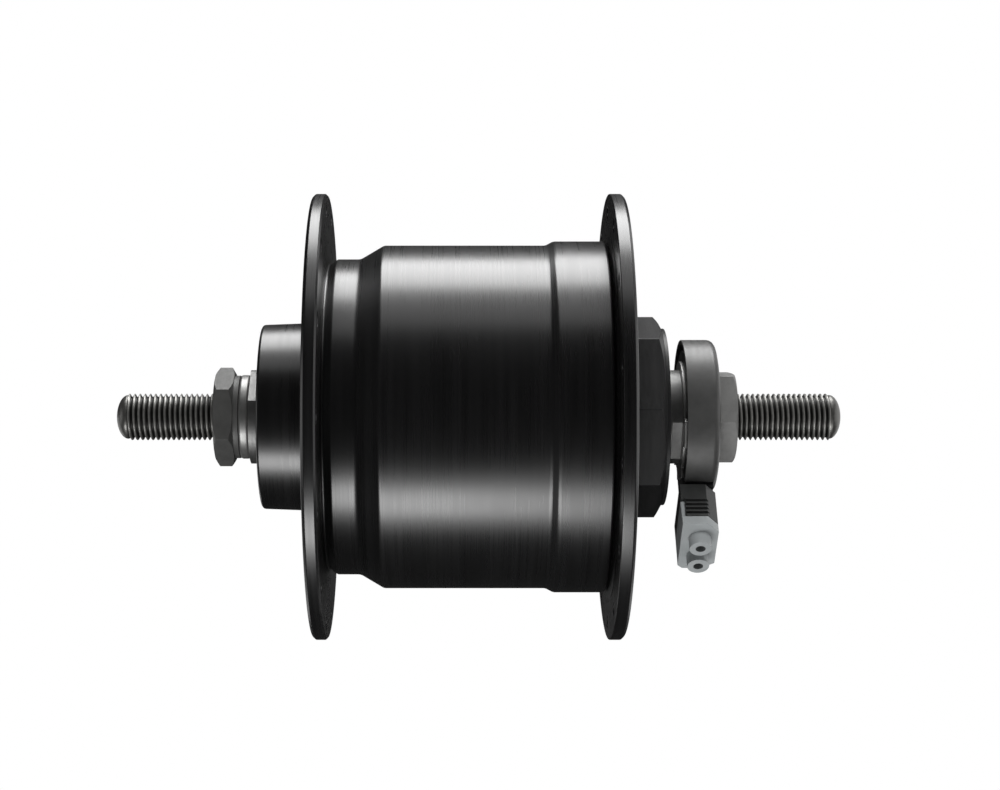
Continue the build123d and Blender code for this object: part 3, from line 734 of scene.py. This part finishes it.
# %% The whole axle
ROD_STOPS = 49.5
THREAD_STARTS = 49.6
TIP_FOOT = 0.8
TIP_CORE_RADIUS = 3.9
TIP_RADIUS = 4.25
TIP_STEPS = 12
axle_mesh = joined_copy("axle")
for side in (-1, 1):
    bmesh.ops.bisect_plane(
        axle_mesh,
        geom=axle_mesh.verts[:] + axle_mesh.edges[:] + axle_mesh.faces[:],
        plane_co=(0, side * ROD_STOPS * MM, 0),
        plane_no=(0, side, 0),
        clear_outer=True,
    )
    rim = [edge for edge in axle_mesh.edges if edge.is_boundary]
    bmesh.ops.edgeloop_fill(axle_mesh, edges=rim)


def add_mesh(target, extra):
    """Puts one bmesh into another."""
    carrier = bpy.data.meshes.new("carrier")
    extra.to_mesh(carrier)
    extra.free()
    target.from_mesh(carrier)
    bpy.data.meshes.remove(carrier)


for side, tip_end in AXLE_ENDS:
    thread_end = tip_end - side * TIP_DOME
    start, end = sorted((side * THREAD_STARTS, thread_end))
    add_mesh(axle_mesh, threaded_rod(start, end))
    # A quarter of an ellipse, from the thread's root round to the middle of the end
    foot = thread_end - side * TIP_FOOT
    tip = [(0.0, foot), (TIP_CORE_RADIUS, foot)]
    for step in range(TIP_STEPS + 1):
        turn = pi / 2 * step / TIP_STEPS
        tip.append((TIP_RADIUS * cos(turn), thread_end + side * TIP_DOME * sin(turn)))
    add_mesh(axle_mesh, turned(tip, 96))
piece("threaded_axle", axle_mesh, thread_finish, "axle_assembly", ["axle"], 40)

# %% [markdown]
# ## The terminal's metal cover
#
# The cover is drawn from sheet, so its shoulder is a generous round and its face is very slightly
# domed. The window for the block is pressed out of its side wall.

# %% The drawn cover
cover_outline = [
    (4.53, 46.2),
    (8.5, 46.2),
    (14.9, 46.05, 1.4),
    (14.9, 39.7, 0.15),
    (14.1, 39.7, 0.15),
    (14.1, 45.2, 0.7),
    (4.53, 45.3),
]
cover_mesh = turned(cover_outline, 192)
COVER_RADIUS = 14.9
WINDOW_WIDTH = 5.6
WINDOW_ALONG = 42.5
WINDOW_TOP = -1.7
window = bmesh.new()
bmesh.ops.create_cube(window, size=1.0)
bmesh.ops.scale(
    window,
    verts=window.verts,
    vec=(2 * COVER_RADIUS * MM, WINDOW_WIDTH * MM, 2 * COVER_RADIUS * MM),
)
bmesh.ops.translate(
    window,
    verts=window.verts,
    vec=(COVER_RADIUS * MM, WINDOW_ALONG * MM, (WINDOW_TOP - COVER_RADIUS) * MM),
)
bmesh.ops.rotate(
    window, verts=window.verts, cent=(0, 0, 0), matrix=Matrix.Rotation(PLUG_TILT, 3, "Y")
)
cover_mesh = cut(cover_mesh, window)
cover = piece("drawn_cover", cover_mesh, cover_steel, "axle_assembly", ["terminal_cover"])
print("cover:", len(cover.data.polygons), "faces")

# %% [markdown]
# ## Inside
#
# The inner pieces only show when the hub is taken apart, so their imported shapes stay. They still get the
# finish that the real ones have.

# %% Finishes of the inner pieces
inside = {
    "left_core_nut": axle_steel,
    "right_core_nut": axle_steel,
    "left_claw_yoke": soft_iron,
    "right_claw_yoke": soft_iron,
    "core_sleeve": soft_iron,
    "back_iron_ring": soft_iron,
    "coil_bobbin": nylon,
    "coil_winding": copper,
    "rotor_magnets": ferrite,
    "lead_wire": wire_skin,
    "live_contact": tinned_brass,
    "earth_contact": tinned_brass,
    "left_bearing_cup": bright_steel,
    "right_bearing_cup": bright_steel,
    "left_balls": ball_steel,
    "right_balls": ball_steel,
    "left_ball_retainer": plate_steel,
    "right_ball_retainer": plate_steel,
}
for name, material in inside.items():
    nodes[name].data.materials.clear()
    nodes[name].data.materials.append(material)
print("inner pieces finished:", len(inside))

# %% [markdown]
# ## The studio
#
# Black metal shows nothing but what it reflects, so the light is the picture. A long soft lamp hangs
# above and just behind the hub and gives the broad highlight near the top of the barrel. A lower one in
# front gives the second band. A third, weaker in effect, lights only what is not mirror-like. The hub
# stands in a white room, and sheets of black cloth keep most of that white out of its black parts, as a
# photographer hangs them. Only mirror-like reflections see the cloth, so the picture's white stays.

# %% Lamps
def lie_along_axle(way):
    """The turn that faces a sheet back along this way, its long side along the axle."""
    return Matrix((Vector((0, 1, 0)), way.cross(Vector((0, 1, 0))), way)).transposed()


def strip_lamp(name, elevation, along, distance, width, radiance):
    """A soft lamp between two places along the axle, this many degrees up from the camera's side."""
    length = along[1] - along[0]
    data = bpy.data.lights.new(name, "AREA")
    data.shape = "RECTANGLE"
    data.size = length
    data.size_y = width
    data.energy = radiance * pi * width * length
    lamp = bpy.data.objects.new(name, data)
    bpy.context.scene.collection.objects.link(lamp)
    way = Vector((cos(radians(elevation)), 0, sin(radians(elevation))))
    lamp.location = way * distance + Vector((0, sum(along) / 2, 0))
    lamp.rotation_euler = lie_along_axle(way).to_euler()
    lamp.visible_camera = False
    return lamp


strip_lamp("top_lamp", elevation=109, along=(-0.26, 0.45), distance=0.75, width=0.45, radiance=6.7)
strip_lamp("low_lamp", elevation=-57, along=(-0.36, 0.055), distance=0.60, width=0.21, radiance=6.6)
fill_lamp = strip_lamp(
    "fill_lamp", elevation=48, along=(-0.1, 0.4), distance=0.9, width=0.3, radiance=9.0
)
fill_lamp.visible_glossy = False

# %% Black cloth
FAR = 1.5
velvet = Finish("black_cloth", (0.02, 0.02, 0.02), 0.95, level=0.1)
velvet.bump(velvet.noise(velvet.place(), 1.5), 0.3)


def hang(name, mesh):
    """Makes a sheet of black cloth that only mirror-like reflections see."""
    data = bpy.data.meshes.new(name)
    mesh.to_mesh(data)
    mesh.free()
    data.materials.append(velvet.material)
    made = bpy.data.objects.new(name, data)
    bpy.context.scene.collection.objects.link(made)
    made.visible_camera = False
    made.visible_diffuse = False
    made.visible_shadow = False


def cloth(name, first, last, along, distance, steps=40):
    """A curved sheet between two elevations and two places along the axle."""
    mesh = bmesh.new()
    rows = []
    for number in range(steps + 1):
        turn = radians(first + (last - first) * number / steps)
        spot = (distance * cos(turn), distance * sin(turn))
        rows.append([mesh.verts.new((spot[0], place, spot[1])) for place in along])
    for (a, b), (c, d) in zip(rows, rows[1:]):
        mesh.faces.new((a, b, d, c))
    hang(name, mesh)


# Each sheet's first and last elevation in degrees, its ends along the axle and its distance
SHEETS = {
    "front_cloth": (-38, 60, (-FAR, FAR), 0.9),
    "back_cloth": (128, 180, (-FAR, 0.35), 0.58),
    "back_low_cloth": (180, 283, (-0.3, 0.33), 0.58),
    "left_back_low_cloth": (226, 283, (-FAR, -0.3), 0.58),
    "right_back_low_cloth": (226, 283, (0.33, FAR), 0.58),
    "left_top_cloth": (55, 130, (-FAR, -0.28), 0.8),
    "right_top_cloth": (55, 130, (0.75, FAR), 0.8),
    "left_low_cloth": (-80, -35, (-FAR, -0.37), 0.6),
    "right_low_cloth": (-80, -35, (0.3, FAR), 0.6),
}
for name, (first, last, along, distance) in SHEETS.items():
    cloth(name, first, last, along, distance)

# A ring of cloth past the hub's left end, open in the middle so that the end itself isn't lost in black
RING_RADII = (0.45, 0.9)
left_end = bmesh.new()
for radius in RING_RADII:
    bmesh.ops.create_circle(
        left_end,
        cap_ends=False,
        segments=48,
        radius=radius,
        matrix=Matrix.Translation((0, -FAR, 0)) @ Matrix.Rotation(pi / 2, 4, "X"),
    )
bmesh.ops.bridge_loops(left_end, edges=left_end.edges)
hang("left_end_cloth", left_end)

# %% Floor and background
ROOM_LIGHT = 0.36
ROOM_SEEN = 1.0
FLOOR_RADIUS = 60.0
FLOOR_HEIGHT = -0.62
world = bpy.data.worlds.new("studio")
bpy.context.scene.world = world
world.use_nodes = True
world_tree = world.node_tree
ray = world_tree.nodes.new("ShaderNodeLightPath")
back = world_tree.nodes["Background"]
back.inputs["Color"].default_value = (1, 1, 1, 1)
seen = ray.outputs["Is Camera Ray"]
for name in ("Is Glossy Ray", "Is Transmission Ray"):
    either = world_tree.nodes.new("ShaderNodeMath")
    either.operation = "MAXIMUM"
    world_tree.links.new(seen, either.inputs[0])
    world_tree.links.new(ray.outputs[name], either.inputs[1])
    seen = either.outputs[0]
level = world_tree.nodes.new("ShaderNodeMapRange")
level.inputs["To Min"].default_value = ROOM_LIGHT
level.inputs["To Max"].default_value = ROOM_SEEN
world_tree.links.new(seen, level.inputs["Value"])
world_tree.links.new(level.outputs[0], back.inputs["Strength"])

floor_mesh = bmesh.new()
bmesh.ops.create_circle(floor_mesh, cap_ends=True, segments=64, radius=FLOOR_RADIUS)
bmesh.ops.translate(floor_mesh, verts=floor_mesh.verts, vec=(0, 0, FLOOR_HEIGHT))
floor_data = bpy.data.meshes.new("floor")
floor_mesh.to_mesh(floor_data)
floor_mesh.free()
floor = bpy.data.objects.new("floor", floor_data)
bpy.context.scene.collection.objects.link(floor)
paper = Finish("white_paper", (0.9, 0.9, 0.9), 0.9, level=0.1)
camera_ray = paper.node("ShaderNodeLightPath", {}, {}, "Is Camera Ray")
glossy_ray = paper.node("ShaderNodeLightPath", {}, {}, "Is Glossy Ray")
through_ray = paper.node("ShaderNodeLightPath", {}, {}, "Is Transmission Ray")
paper_seen = camera_ray + glossy_ray + through_ray
glow = paper.node("ShaderNodeEmission", {}, {"Color": (1, 1, 1, 1), "Strength": 1.0})
x, y, z = paper.parts(paper.place())
away = (x * x + y * y) ** 0.5
# Near the hub the paper keeps some of its own shade, and with it the hub's faint shadow
shade_full, shade_gone = 300.0, 1500.0
shine = paper.level_of(away, shade_full, shade_gone, 0.85, 1.0)
mixed = paper.node("ShaderNodeMixShader", {}, {0: paper_seen * shine})
paper.tree.links.new(paper.shader.outputs[0], mixed.socket.node.inputs[1])
paper.tree.links.new(glow.socket, mixed.socket.node.inputs[2])
paper.tree.links.new(mixed.socket, paper.tree.nodes["Material Output"].inputs["Surface"])
floor_data.materials.append(paper.material)
